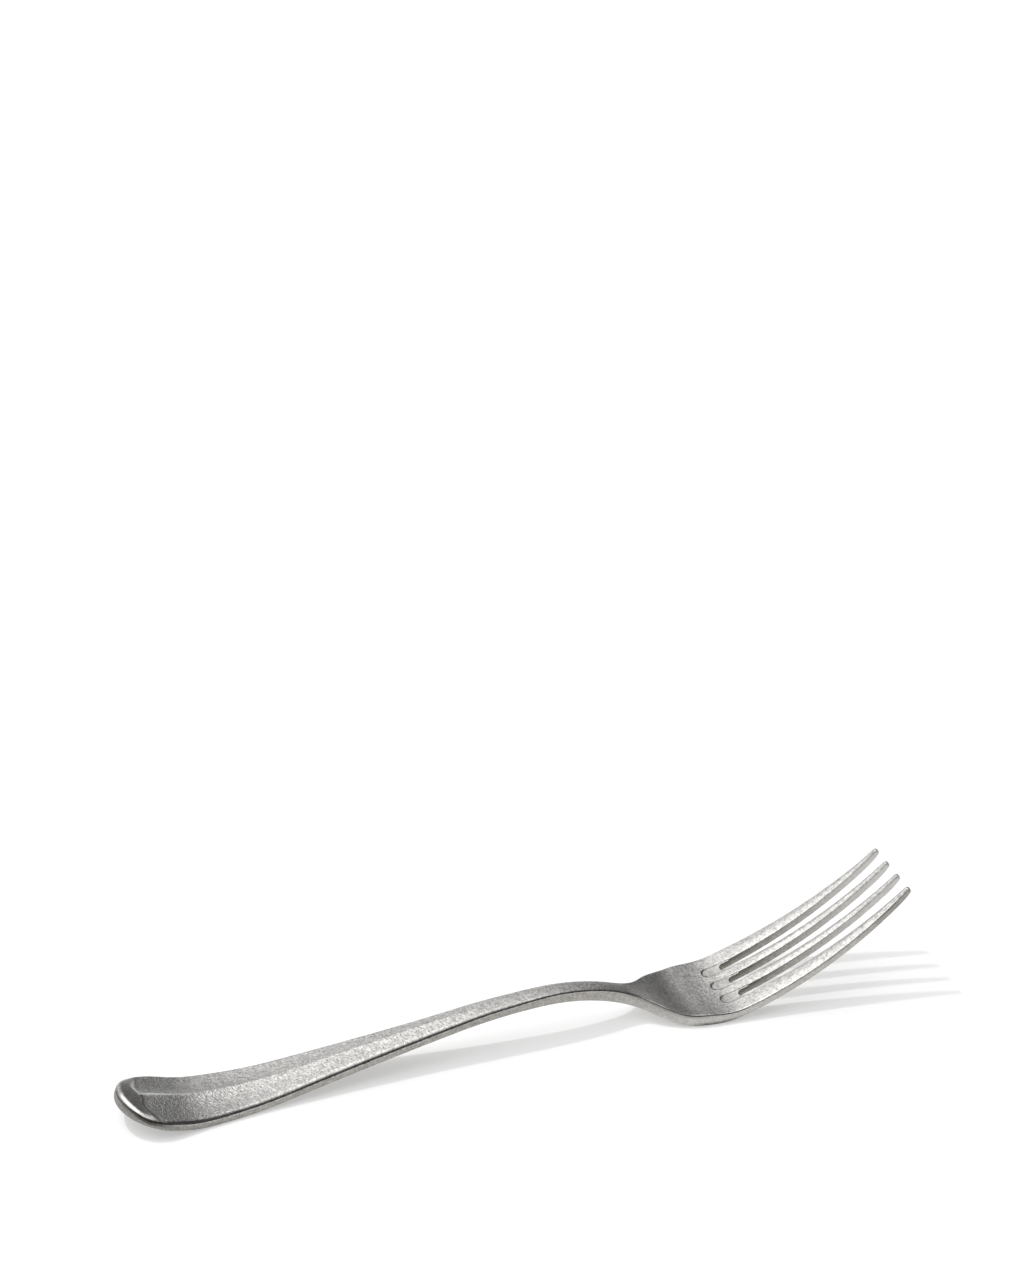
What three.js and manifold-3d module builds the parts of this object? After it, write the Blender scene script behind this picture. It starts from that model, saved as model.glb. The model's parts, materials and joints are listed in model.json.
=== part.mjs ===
// Table fork of stainless steel with four tines and a fluted handle.
// Millimetres. +X runs from the handle's end to the tips, +Y across the fork and +Z up.
// The fork lies on its back: the back of the handle and the heel of the bowl rest on z = 0.
// The shape is laid out as a flat blank and then bent along the line of its back, where
//   along   is the distance from the handle's end, measured on the back,
//   across  is the distance from the middle plane,
//   up      is the height above the back, square to it.
// The zones of the fork are separate solids that meet face to face.
import * as THREE from "three";
import { mergeVertices } from "three/addons/utils/BufferGeometryUtils.js";
import Module from "manifold-3d";

// Line of the back: straights, and bends by radius and angle, from the handle's end to the tips
const END_CURL_LENGTH = 6.5;
const END_CURL_DEGREES = 7;
const END_STRAIGHT = 8.1;
const END_BEND_RADIUS = 34.4;
const END_LIFT_DEGREES = 14.8;
const HANDLE_REST_LENGTH = 3;
const RISE_RADIUS = 118;
const RISE_DEGREES = 8.3;
const HANDLE_STRAIGHT = 45.8;
const CREST_RADIUS = 147;
const DROP_RADIUS = 54;
const DROP_DEGREES = 19.7;
const HEEL_RADIUS = 20;
const HEEL_REST_LENGTH = 3;
const TOE_RADIUS = 30;
const TOE_DEGREES = 16;
const TINE_BEND_RADIUS = 121;

// Zones along the back
const END_LENGTH = 11.5;
const NECK_BEFORE_CREST = 11;
const ROOT_FROM_HEEL_REST = 9.8;
const TINE_LENGTH = 51.1;

// Outline of the blank
const END_WIDTH = 21.5;
const END_EASE = 8;
const TAPER_EASE = 43;
const NECK_START_WIDTH = 6.1;
const NECK_TAPER = 0.036;
const NECK_TAPER_EASE = 10;
const NECK_WIDTH = 4.5;
const NECK_SLIM_EASE = 9;
const NECK_FLARE_EASE = 14;
const SHOULDER_EASE = 28.5;
const BOWL_WIDTH = 25.2;

// Thickness at the edges
const HANDLE_EDGE = 2.6;
const NECK_EDGE = 3.25;
const ROOT_EDGE = 2.2;
const TIP_EDGE = 1.85;

// Rounding of the edges
const RIM_RADIUS = 0.5;
const END_BACK_RADIUS = 1.2;
const END_BACK_FADES = [3, 12];
const BACK_RADIUS = 0.4;
const TINE_EDGE_RADIUS = 0.3;

// Top of the handle: a ridge between two flutes, which stop short of a raised end pad
const RIDGE_AT_END = 1.6;
const RIDGE_ALONG = 0.55;
const RIDGE_SETTLES = 46;
const RIDGE_FADE = 19;
const FLUTE_START = 6;
const FLUTE_BOW = 1;
const FLUTE_RAMP = 0.9;
const PAD_POWER = 3;
const NECK_CROWN = 0.2;

// Hollow of the bowl
const BOWL_HOLLOW = 0.6;
const HOLLOW_EASE = 15;

// Slots and tines
const SLOT_WIDTH = 2.86;
const SLOT_PITCH = 6.17;
const TIP_PITCH = 6.4;
const TIP_WIDTH = 1.4;
const TIP_ROUND = 0.65;
const TINE_COUNT = 4;
// The outer sides draw in by this power of the way to the tip, so they bow outwards
const OUTER_SIDE_POWER = 1.5;
// A tine's roundings take at most this share of its width or thickness
const ROUNDING_SHARE = 1 / 3;

// Coined recess behind the root of each slot
const RECESS_WIDTH = 3.5;
const RECESS_DEPTH = 0.3;
const RECESS_LENGTH = 5.2;
const CUT_MARGIN = 1;

// Fineness of the facets
const ALONG_STEP = 3.6;
const FINE_STEP = 0.8;
const ACROSS_STEPS = 12;
const ROUND_STEPS = 2;
const ROOT_ARC_STEPS = 5;
const END_FLAT_DEGREES = 9;
const END_ARC_DEGREES = [20, 32, 45, 58, 70, 80];
const TIP_ARC_DEGREES = [0, 35, 60, 80];
const RECESS_ARC_DEGREES = [8, 30, 55, 75];
const LEAST_STEP = 0.3;
const HALVINGS = 40;

const steel = new THREE.MeshStandardMaterial({ color: 0xa9a7a1, roughness: 0.34, metalness: 1 });

const radians = THREE.MathUtils.degToRad;
const { lerp, smoothstep } = THREE.MathUtils;

// The line of the back

const curl = radians(END_CURL_DEGREES);
const lift = radians(END_LIFT_DEGREES);
const riseAngle = radians(RISE_DEGREES);
const dropAngle = radians(DROP_DEGREES);
const toeAngle = radians(TOE_DEGREES);

// The straight behind the heel is as long as it takes to bring the heel down to the handle's level.
const climb =
  (RISE_RADIUS + CREST_RADIUS) * (1 - Math.cos(riseAngle)) + HANDLE_STRAIGHT * Math.sin(riseAngle);
const bentDrop = (DROP_RADIUS + HEEL_RADIUS) * (1 - Math.cos(dropAngle));
const neckStraight = (climb - bentDrop) / Math.sin(dropAngle);

const stretches = [
  { name: "end curl", length: END_CURL_LENGTH, turn: curl },
  { name: "end", length: END_STRAIGHT, turn: 0 },
  { name: "end bend", length: END_BEND_RADIUS * lift, turn: lift },
  { name: "handle rest", length: HANDLE_REST_LENGTH, turn: 0 },
  { name: "rise", length: RISE_RADIUS * riseAngle, turn: riseAngle },
  { name: "handle", length: HANDLE_STRAIGHT, turn: 0 },
  { name: "crest", length: CREST_RADIUS * riseAngle, turn: -riseAngle },
  { name: "drop", length: DROP_RADIUS * dropAngle, turn: -dropAngle },
  { name: "neck", length: neckStraight, turn: 0 },
  { name: "heel", length: HEEL_RADIUS * dropAngle, turn: dropAngle },
  { name: "heel rest", length: HEEL_REST_LENGTH, turn: 0 },
  { name: "toe", length: TOE_RADIUS * toeAngle, turn: toeAngle },
];

// Goes a distance along a stretch that starts at a point with a slope.
function advance(start, stretch, distance) {
  const angle = start.angle + (stretch.turn * distance) / stretch.length;
  if (stretch.turn === 0) {
    return {
      x: start.x + distance * Math.cos(angle),
      z: start.z + distance * Math.sin(angle),
      angle,
    };
  }
  const radius = stretch.length / stretch.turn;
  return {
    x: start.x + radius * (Math.sin(angle) - Math.sin(start.angle)),
    z: start.z + radius * (Math.cos(start.angle) - Math.cos(angle)),
    angle,
  };
}

// Each stretch gets its start, so that the handle's rest lies at z = 0.
const curlRise = (END_CURL_LENGTH / curl) * (Math.cos(lift) - Math.cos(lift + curl));
const endRise = END_STRAIGHT * Math.sin(lift) + END_BEND_RADIUS * (1 - Math.cos(lift));
let cursor = { x: 0, z: curlRise + endRise, angle: -lift - curl };
let reached = 0;
for (const stretch of stretches) {
  stretch.begin = reached;
  stretch.start = cursor;
  cursor = advance(cursor, stretch, stretch.length);
  reached += stretch.length;
}
const tineBend = {
  name: "tines",
  length: TINE_BEND_RADIUS,
  turn: 1,
  begin: reached,
  start: cursor,
};
stretches.push(tineBend);

const stretchNamed = (name) => stretches.find((stretch) => stretch.name === name);
const endOf = (stretch) => stretch.begin + stretch.length;

// Bends a point of the blank into the fork.
function bend([along, across, up]) {
  const stretch = stretches.findLast((each) => each.begin <= along) ?? stretches[0];
  const { x, z, angle } = advance(stretch.start, stretch, along - stretch.begin);
  return new THREE.Vector3(x - up * Math.sin(angle), across, z + up * Math.cos(angle));
}

// Places along the back

const neckBegin = endOf(stretchNamed("crest")) - NECK_BEFORE_CREST;
const neckEnd = endOf(stretchNamed("drop"));
const heelRest = stretchNamed("heel rest");
const root = endOf(heelRest) + ROOT_FROM_HEEL_REST;
const tip = root + TINE_LENGTH;

// Outline of the blank: half its width against the distance along it

const endHalf = END_WIDTH / 2;
const neckStartHalf = NECK_START_WIDTH / 2;
const neckHalf = NECK_WIDTH / 2;
const bowlHalf = BOWL_WIDTH / 2;
const at = (along, half) => new THREE.Vector2(along, half);

const taper = new THREE.CubicBezierCurve(
  at(END_LENGTH, endHalf),
  at(END_LENGTH + END_EASE, endHalf),
  at(neckBegin - TAPER_EASE, neckStartHalf + TAPER_EASE * NECK_TAPER),
  at(neckBegin, neckStartHalf),
);
const neckSides = new THREE.CubicBezierCurve(
  at(neckBegin, neckStartHalf),
  at(neckBegin + NECK_TAPER_EASE, neckStartHalf - NECK_TAPER_EASE * NECK_TAPER),
  at(neckEnd - NECK_SLIM_EASE, neckHalf),
  at(neckEnd, neckHalf),
);
const shoulders = new THREE.CubicBezierCurve(
  at(neckEnd, neckHalf),
  at(neckEnd + NECK_FLARE_EASE, neckHalf),
  at(root - SHOULDER_EASE, bowlHalf),
  at(root, bowlHalf),
);

// The outline's point and direction where a curve passes a distance along the blank.
function outlineAt(curve, along) {
  let low = 0;
  let high = 1;
  for (let halving = 0; halving < HALVINGS; halving++) {
    const middle = (low + high) / 2;
    if (curve.getPoint(middle).x < along) low = middle;
    else high = middle;
  }
  return { along, half: curve.getPoint(low).y, heading: curve.getTangent(low) };
}

// The handle's end is a quarter of an ellipse on each side, cut square at its very tip.
function endOutlineAt(degrees) {
  const angle = radians(degrees);
  const heading = at(END_LENGTH * Math.sin(angle), endHalf * Math.cos(angle)).normalize();
  return { along: END_LENGTH * (1 - Math.cos(angle)), half: endHalf * Math.sin(angle), heading };
}

// Thickness of the edges along the fork.
function edgeAt(along) {
  if (along > root) return lerp(ROOT_EDGE, TIP_EDGE, (along - root) / TINE_LENGTH);
  const thickening = smoothstep(along, neckBegin, neckEnd);
  const thinning = smoothstep(along, heelRest.begin, root);
  return lerp(lerp(HANDLE_EDGE, NECK_EDGE, thickening), ROOT_EDGE, thinning);
}

// Height of the top above its edges. side runs from -1 to 1 between the rounded rims.
function crownAt(along, side) {
  const reach = Math.abs(side);
  const settled = smoothstep(along, FLUTE_START, RIDGE_SETTLES);
  const fade = smoothstep(along, neckBegin - RIDGE_FADE, neckBegin);
  const ridge = lerp(RIDGE_AT_END, RIDGE_ALONG, settled) * (1 - fade);
  // On the pad the share of the way out runs over its ellipse, and further along over the width.
  const shortOfPad = Math.max(0, 1 - along / END_LENGTH) ** 2;
  const outward = Math.sqrt(shortOfPad + reach * reach * (1 - shortOfPad));
  const padded = 1 - outward ** PAD_POWER;
  const rounded = 1 - reach * reach;
  const fluted = (1 - reach) * (1 - reach);
  const fluteEdge = FLUTE_START - FLUTE_BOW * Math.sin(Math.PI * reach);
  const inFlute = smoothstep(along, fluteEdge - FLUTE_RAMP / 2, fluteEdge + FLUTE_RAMP / 2);
  const neck = NECK_CROWN * fade * (1 - smoothstep(along, neckEnd, neckEnd + HOLLOW_EASE));
  const deepening = smoothstep(along, neckEnd, neckEnd + HOLLOW_EASE);
  const hollow = BOWL_HOLLOW * deepening * (1 - smoothstep(along, heelRest.begin, root));
  return ridge * lerp(padded, fluted, inFlute) + (neck - hollow) * rounded;
}

// Sections of the blank. Each is a row of columns from one edge to the other, and a column is
// a point on the top and the point on the back below it.

// Points of a rounded edge from the wall inwards, as an inset and a drop from the face.
function roundedEdge(radius) {
  return Array.from({ length: ROUND_STEPS + 1 }, (_, step) => {
    const angle = (Math.PI / 2) * (1 - step / ROUND_STEPS);
    return { inset: radius * (1 - Math.sin(angle)), drop: radius * (1 - Math.cos(angle)) };
  });
}

// A section across the whole blank, from its outline there.
function fullSection({ along, half, heading }) {
  const edge = edgeAt(along);
  const rim = roundedEdge(RIM_RADIUS);
  const backRadius = lerp(END_BACK_RADIUS, BACK_RADIUS, smoothstep(along, ...END_BACK_FADES));
  const back = roundedEdge(backRadius);
  const insetPoint = (side, inset, up) => [
    along + inset * heading.y,
    side * (half - inset * heading.x),
    up,
  ];
  const edgeColumns = (side) =>
    rim.map(({ inset, drop }, i) => ({
      top: insetPoint(side, inset, edge - drop),
      back: insetPoint(side, back[i].inset, back[i].drop),
    }));
  const columns = [];
  for (let step = 1; step < ACROSS_STEPS; step++) {
    const side = -1 + (2 * step) / ACROSS_STEPS;
    const [topAlong, topAcross] = insetPoint(side, RIM_RADIUS, 0);
    const [backAlong, backAcross] = insetPoint(side, backRadius, 0);
    const crown = crownAt(topAlong, side);
    columns.push({ top: [topAlong, topAcross, edge + crown], back: [backAlong, backAcross, 0] });
  }
  return [...edgeColumns(-1), ...columns, ...edgeColumns(1).reverse()];
}

// A section of one tine between two sides, each with its own rounding, its back lifted at the tip.
function tineSection(along, sides, edge, lifted) {
  const columns = sides.map(({ across, inward, rimRadius, backRadius }) => {
    const back = roundedEdge(backRadius);
    return roundedEdge(rimRadius).map(({ inset, drop }, i) => ({
      top: [along, across + inward * inset, edge - drop],
      back: [along, across + inward * back[i].inset, lifted + back[i].drop],
    }));
  });
  return [...columns[0], ...columns[1].reverse()];
}

// A closed solid through a row of sections: top, back, two side walls and two end faces.
function loft(sections) {
  const width = sections[0].length;
  const points = sections.flatMap((section) =>
    section.flatMap(({ top, back }) => [bend(top), bend(back)]),
  );
  const topIndex = (row, column) => 2 * (row * width + column);
  const backIndex = (row, column) => topIndex(row, column) + 1;
  const faces = [];
  const quad = (a, b, c, d) => faces.push(a, b, c, a, c, d);
  const last = sections.length - 1;
  for (let row = 0; row < last; row++) {
    for (let column = 0; column < width - 1; column++) {
      quad(
        topIndex(row, column),
        topIndex(row + 1, column),
        topIndex(row + 1, column + 1),
        topIndex(row, column + 1),
      );
      quad(
        backIndex(row, column),
        backIndex(row, column + 1),
        backIndex(row + 1, column + 1),
        backIndex(row + 1, column),
      );
    }
    quad(backIndex(row, 0), backIndex(row + 1, 0), topIndex(row + 1, 0), topIndex(row, 0));
    quad(
      topIndex(row, width - 1),
      topIndex(row + 1, width - 1),
      backIndex(row + 1, width - 1),
      backIndex(row, width - 1),
    );
  }
  for (let column = 0; column < width - 1; column++) {
    quad(
      backIndex(0, column),
      topIndex(0, column),
      topIndex(0, column + 1),
      backIndex(0, column + 1),
    );
    quad(
      backIndex(last, column),
      backIndex(last, column + 1),
      topIndex(last, column + 1),
      topIndex(last, column),
    );
  }
  return new THREE.BufferGeometry().setFromPoints(points).setIndex(faces);
}

// Places of the sections from one place to another: even steps that take in every joint between
// two stretches of the back, so that the rests stay flat.
function stations(from, to, step) {
  const joints = stretches.map((stretch) => stretch.begin);
  const stops = [from, ...joints.filter((joint) => joint > from && joint < to), to];
  const places = [from];
  for (let i = 1; i < stops.length; i++) {
    const span = stops[i] - stops[i - 1];
    const count = Math.max(1, Math.round(span / step));
    for (let k = 1; k <= count; k++) places.push(stops[i - 1] + (span * k) / count);
  }
  return places.filter((place, i) => i === 0 || place === to || to - place > LEAST_STEP);
}

// Cutting

const wasm = await Module();
wasm.setup();

function toManifold(geometry) {
  const bare = new THREE.BufferGeometry();
  bare.setAttribute("position", geometry.getAttribute("position"));
  bare.setIndex(geometry.getIndex());
  const merged = mergeVertices(bare);
  return new wasm.Manifold(
    new wasm.Mesh({
      numProp: 3,
      vertProperties: merged.getAttribute("position").array,
      triVerts: new Uint32Array(merged.getIndex().array),
    }),
  );
}

function cut(geometry, cutters) {
  const left = cutters.reduce((solid, cutter) => solid.subtract(cutter), toManifold(geometry));
  const mesh = left.getMesh();
  return new THREE.BufferGeometry()
    .setAttribute("position", new THREE.BufferAttribute(mesh.vertProperties, 3))
    .setIndex(new THREE.BufferAttribute(mesh.triVerts, 1));
}

// The recess behind the root of a slot: an oblong with a round end, sunk into the top by its depth.
function recessCutter(across) {
  const radius = RECESS_WIDTH / 2;
  const begin = root - RECESS_LENGTH;
  const roundEnd = RECESS_ARC_DEGREES.map((degrees) => ({
    along: begin + radius * (1 - Math.cos(radians(degrees))),
    half: radius * Math.sin(radians(degrees)),
  }));
  const straight = stations(begin + radius, root + CUT_MARGIN, FINE_STEP).map((along) => ({
    along,
    half: radius,
  }));
  const sections = [...roundEnd, ...straight].map(({ along, half }) => {
    const edge = edgeAt(along);
    const height = (y) => edge + crownAt(along, y / (bowlHalf - RIM_RADIUS));
    return [across - half, across + half].map((y) => ({
      top: [along, y, height(y) + CUT_MARGIN],
      back: [along, y, height(y) - RECESS_DEPTH],
    }));
  });
  return toManifold(loft(sections));
}

// The zones

const slotCount = TINE_COUNT - 1;
const slotCentres = Array.from(
  { length: slotCount },
  (_, i) => (i - (slotCount - 1) / 2) * SLOT_PITCH,
);

function handleEnd() {
  const flat = { ...endOutlineAt(END_FLAT_DEGREES), heading: at(1, 0) };
  const arc = END_ARC_DEGREES.map(endOutlineAt);
  return loft([flat, ...arc, outlineAt(taper, END_LENGTH)].map(fullSection));
}

const handle = () =>
  loft(stations(END_LENGTH, neckBegin, ALONG_STEP).map((s) => fullSection(outlineAt(taper, s))));

const neck = () =>
  loft(stations(neckBegin, neckEnd, ALONG_STEP).map((s) => fullSection(outlineAt(neckSides, s))));

function bowl() {
  const places = stations(neckEnd, root, ALONG_STEP / 2);
  const whole = loft(places.map((s) => fullSection(outlineAt(shoulders, s))));
  return cut(whole, slotCentres.map(recessCutter));
}

// A tine between two slots, or between a slot and the edge of the blank. It starts at the root as
// wide as the slots' centre lines allow, and draws in round the end of each slot.
function tine(index) {
  const slotRadius = SLOT_WIDTH / 2;
  const tipCentre = (index - (TINE_COUNT - 1) / 2) * TIP_PITCH;
  const sideOf = (inward) => {
    const slot = slotCentres[inward > 0 ? index - 1 : index];
    const outer = slot === undefined;
    return { inward, outer, slot, atRoot: outer ? -inward * bowlHalf : slot + inward * slotRadius };
  };
  const sides = [sideOf(1), sideOf(-1)];
  const straightBegin = root + slotRadius;
  const roundBegin = tip - TIP_ROUND;

  const rootArc = Array.from({ length: ROOT_ARC_STEPS }, (_, step) => {
    const angle = ((Math.PI / 2) * step) / ROOT_ARC_STEPS;
    return { along: root + slotRadius * (1 - Math.cos(angle)), open: Math.sin(angle), shrink: 0 };
  });
  const straight = stations(straightBegin, roundBegin, ALONG_STEP)
    .slice(0, -1)
    .map((along) => ({ along, open: 1, shrink: 0 }));
  const tipArc = TIP_ARC_DEGREES.map((degrees) => ({
    along: roundBegin + TIP_ROUND * Math.sin(radians(degrees)),
    open: 1,
    shrink: TIP_ROUND * (1 - Math.cos(radians(degrees))),
  }));

  const sections = [...rootArc, ...straight, ...tipArc].map(({ along, open, shrink }) => {
    const reach = Math.max(0, (along - straightBegin) / (tip - straightBegin));
    const edge = edgeAt(along);
    const placed = sides.map(({ inward, outer, slot, atRoot }) => {
      const inArc = outer ? atRoot : slot + inward * slotRadius * open;
      const atTip = tipCentre - inward * (TIP_WIDTH / 2);
      const settle = outer ? reach ** OUTER_SIDE_POWER : reach;
      const across = lerp(inArc, atTip, settle) + inward * shrink;
      return { across, inward, outer };
    });
    const room = ROUNDING_SHARE * Math.min(placed[1].across - placed[0].across, edge - shrink);
    const rounded = placed.map(({ across, inward, outer }) => ({
      across,
      inward,
      rimRadius: Math.min(room, outer ? lerp(RIM_RADIUS, TINE_EDGE_RADIUS, reach) : TINE_EDGE_RADIUS),
      backRadius: Math.min(room, outer ? lerp(BACK_RADIUS, TINE_EDGE_RADIUS, reach) : TINE_EDGE_RADIUS),
    }));
    return tineSection(along, rounded, edge, shrink);
  });
  return loft(sections);
}

const zones = { handle_end: handleEnd(), handle: handle(), neck: neck(), bowl: bowl() };
for (let index = 0; index < TINE_COUNT; index++) zones[`tine_${index + 1}`] = tine(index);

// The fork, centred over its length

const fork = new THREE.Group();
for (const [name, geometry] of Object.entries(zones)) {
  const mesh = new THREE.Mesh(geometry, steel);
  mesh.name = name;
  fork.add(mesh);
}
const extent = new THREE.Box3().setFromObject(fork);
fork.position.x = -(extent.min.x + extent.max.x) / 2;

export default fork;
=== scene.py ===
"""Table fork of stonewashed stainless steel, lying on its back on a pale floor.

The fork is worked out as a flat blank and then bent along the line of its back, where
    along   is the distance from the handle's end, measured on the back,
    across  is the distance from the middle plane,
    up      is the height above the back, square to it.
Sizes of the fork are in millimetres, as in its solids, and become metres when a mesh is made.
"""
import json

import bmesh
import bpy
import numpy as np
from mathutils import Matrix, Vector


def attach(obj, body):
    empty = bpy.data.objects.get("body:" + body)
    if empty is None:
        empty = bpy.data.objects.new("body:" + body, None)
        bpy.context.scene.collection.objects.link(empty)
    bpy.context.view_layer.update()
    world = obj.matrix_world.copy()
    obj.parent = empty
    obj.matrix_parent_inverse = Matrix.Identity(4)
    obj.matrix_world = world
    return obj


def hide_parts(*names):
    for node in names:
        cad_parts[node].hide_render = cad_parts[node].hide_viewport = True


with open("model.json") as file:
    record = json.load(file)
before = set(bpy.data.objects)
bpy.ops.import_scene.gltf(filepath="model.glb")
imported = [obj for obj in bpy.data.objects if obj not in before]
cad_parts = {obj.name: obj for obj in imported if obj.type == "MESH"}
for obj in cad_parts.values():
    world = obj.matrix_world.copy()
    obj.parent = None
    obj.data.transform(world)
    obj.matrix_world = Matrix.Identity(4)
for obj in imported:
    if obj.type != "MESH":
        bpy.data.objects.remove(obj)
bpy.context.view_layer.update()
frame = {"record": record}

MM = 0.001

# Line of the back: straights, and bends by radius and angle, from the handle's end to the tips
END_CURL_LENGTH = 6.5
END_CURL_DEGREES = 7
END_STRAIGHT = 8.1
END_BEND_RADIUS = 34.4
END_LIFT_DEGREES = 14.8
HANDLE_REST_LENGTH = 3
RISE_RADIUS = 118
RISE_DEGREES = 8.3
HANDLE_STRAIGHT = 45.8
CREST_RADIUS = 147
DROP_RADIUS = 54
DROP_DEGREES = 19.7
HEEL_RADIUS = 20
HEEL_REST_LENGTH = 3
TOE_RADIUS = 30
TOE_DEGREES = 16
TINE_BEND_RADIUS = 121

# Zones along the back
END_LENGTH = 11.5
NECK_BEFORE_CREST = 11
ROOT_FROM_HEEL_REST = 9.8
TINE_LENGTH = 51.1

# Outline of the blank
END_WIDTH = 21.5
END_EASE = 8
TAPER_EASE = 43
NECK_START_WIDTH = 6.1
NECK_TAPER = 0.036
NECK_TAPER_EASE = 10
NECK_WIDTH = 4.5
NECK_SLIM_EASE = 9
NECK_FLARE_EASE = 14
SHOULDER_EASE = 28.5
BOWL_WIDTH = 25.2

# Thickness at the edges
HANDLE_EDGE = 2.6
NECK_EDGE = 3.25
ROOT_EDGE = 2.2
TIP_EDGE = 1.85

# Rounding of the edges
END_RIM_RADIUS = 1.2
HANDLE_RIM_RADIUS = 1.3
END_RIM_FADES = (1, 9)
HANDLE_RIM_FADE = 25
RIM_RADIUS = 0.5
END_BACK_RADIUS = 1.2
END_BACK_FADES = (3, 12)
BACK_RADIUS = 0.4
TINE_EDGE_RADIUS = 0.16
# A tine's roundings take at most this share of its thickness
ROUNDING_SHARE = 0.33

# Top of the handle: a ridge between two flutes, which stop short of a raised end pad
RIDGE_AT_END = 1.2
RIDGE_ALONG = 0.55
RIDGE_SETTLES = (16, 52)
RIDGE_FADE = 19
RIDGE_BLUNT = 0.2
FLUTE_START = 6.4
FLUTE_BOW = 1.2
FLUTE_REACH = 2.3
FLUTE_RAMP = 1.5
FLUTE_POWERS = (4.5, 2)
NECK_CROWN = 0.2

# Hollow of the bowl
BOWL_HOLLOW = 0.6
HOLLOW_EASE = 15

# Slots and tines
SLOT_WIDTH = 2.86
SLOT_PITCH = 6.17
TIP_PITCH = 6.4
TIP_WIDTH = 1.4
TIP_LIFT = 0.9
TIP_SWEEP = 6
TIP_DROP = 0.15
TINE_CROWN = 0.25
TINE_CROWN_EASE = 10
TINE_COUNT = 4
# The outer sides draw in by this power of the way to the tip, so they bow outwards
OUTER_SIDE_POWER = 1.5

# Coined recess round the root of each slot
RECESS_WIDTH = 3.5
RECESS_DEPTH = 0.32
RECESS_LENGTH = 5.2
RECESS_PAST_ROOT = 3.6
RECESS_WALL = 0.36
RECESS_END_WALL = 0.5

# Parts of the rounding between the top's face and the sides, by depth below the face over its radius
EDGE_RISES = (0.8, 1)
RIM_RISES = (0.02, 0.12)
FOOT_RISES = (0.5, 0.8)
FOOT_FADES = (1, 1.4)

# Finish of the handle, with its painted highlights, painted shade and painted dark lines: strengths, and
# places along it from its end
CREST_FADES = (8, 26)
END_HIGHLIGHT_FADES = (2, 9)
END_LINE = 0.85
END_LINE_FADES = (5, 14)
END_SHADE = 0.4
END_SHADE_FADES = (3, 36)
# Width of the painted highlight lines
HIGHLIGHT_LINE_WIDTH = 0.42
# Places across from the middle, towards +Y for the brink's painted highlight and towards -Y for the
# rim's painted highlight
BRINK_HIGHLIGHT_SIDE = (-1.5, 0.5)
END_HIGHLIGHT_SIDE = (-1, 2)
# Shares of the way from the middle to the edge between which the brink's painted highlight fades
BRINK_HIGHLIGHT_ENDS = (0.4, 0.7)

# Finish of the bowl and the tines, with painted shade, painted dark lines, painted reflection on the
# sides and painted shade in the slots and recesses: strengths, and places along from the roots of the
# slots
BOWL_SATIN = 0.6
BOWL_SATIN_ENDS = (-12, -3)
TINE_SATIN = 0.68
BOWL_SHADE = 0.13
BOWL_RIM_SHADE = 0.45
TIP_SHADE = 0.2
BOWL_LINE = 0.8
BOWL_LINE_BEGINS = (-34, -24)
BOWL_LINE_ENDS = (-16, -4)
HEEL_LINE = 0.6
HEEL_LINE_BEGINS = (-17, -12)
HEEL_LINE_ENDS = (-8, 0)
BOWL_SIDE_REFLECTION = 0.36
TINE_SIDE_REFLECTION = 0.3
SIDE_REFLECTION_RISES = (-38, -20)
SIDE_REFLECTION_SETTLES = (-12, 6)
TIP_REFLECTION = 0.6
TIP_REFLECTION_BEGINS = 4
SLOT_SHADE_FADES = (2, 17)
DEEP_SLOT_SHADE = 0.2
RECESS_SIDE_SHADE = 0.6
RECESS_FLOOR_SHADE = 0.25
RECESS_SHADE_ENDS = 2
# Places along from the neck's end and from the tips
BOWL_SATIN_BEGINS = (-6, 4)
SIDE_REFLECTION_ENDS = (-22, -6)
# Heights above the back, and shares of the way from the middle to the edge, of the painted shadow
# line at the heel
HEEL_LINE_HEIGHTS = (0.4, 0.75)
HEEL_LINE_SIDE = (0.9, 0.97)
# Depths below the top's face over which the painted shade in the slots lightens
SLOT_SHADE_DEPTHS = (0.5, 1.7)
# Width of the painted shade at a recess's sides, and half the width of the change from slot to outer
# side
RECESS_LINE = 0.22
OUTER_SIDE_BLEND = 0.45

# Fineness of the surfaces
END_ROWS = 96
HANDLE_STEP = 0.85
NECK_STEP = 0.65
BOWL_STEP = 0.5
RECESS_STEP = 0.11
FINE_ROWS_BEFORE_RECESS = 3
RECESS_FLOOR_COLUMNS = 5
RECESS_FLOOR_POWER = 1.5
TINE_TOP_COLUMNS = 3
OUTER_COLUMN_STEP = 0.45
ROOT_ARC_ROWS = 14
TINE_STEP = 0.65
TIP_ROWS = 12
RIM_STEPS = 5
WALL_STEPS = 2
BACK_COLUMNS = 6
OUTLINE_SAMPLES = 600
WELD_DISTANCE = 1e-7


def lerp(first, second, share):
    """The value a share of the way from the first to the second."""
    return first + (second - first) * share


def smoothstep(value, low, high):
    """0 below low, 1 above high, and 3t^2 - 2t^3 at a share t of the way between them."""
    share = np.clip((value - low) / (high - low), 0, 1)
    return share * share * (3 - 2 * share)


def between(value, rises, falls):
    """Rises from 0 to 1 over the first range and falls back to 0 over the second."""
    return smoothstep(value, *rises) * (1 - smoothstep(value, *falls))


def bell(distance, width):
    """exp(-x^2), where x is the distance over the width."""
    return np.exp(-((distance / width) ** 2))


def running_total(parts):
    """What has been added up before each part."""
    return np.concatenate([[0], np.cumsum(parts)[:-1]])


# The line of the back

CURL, LIFT, RISE, DROP, TOE = np.radians(
    [END_CURL_DEGREES, END_LIFT_DEGREES, RISE_DEGREES, DROP_DEGREES, TOE_DEGREES]
)

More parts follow.
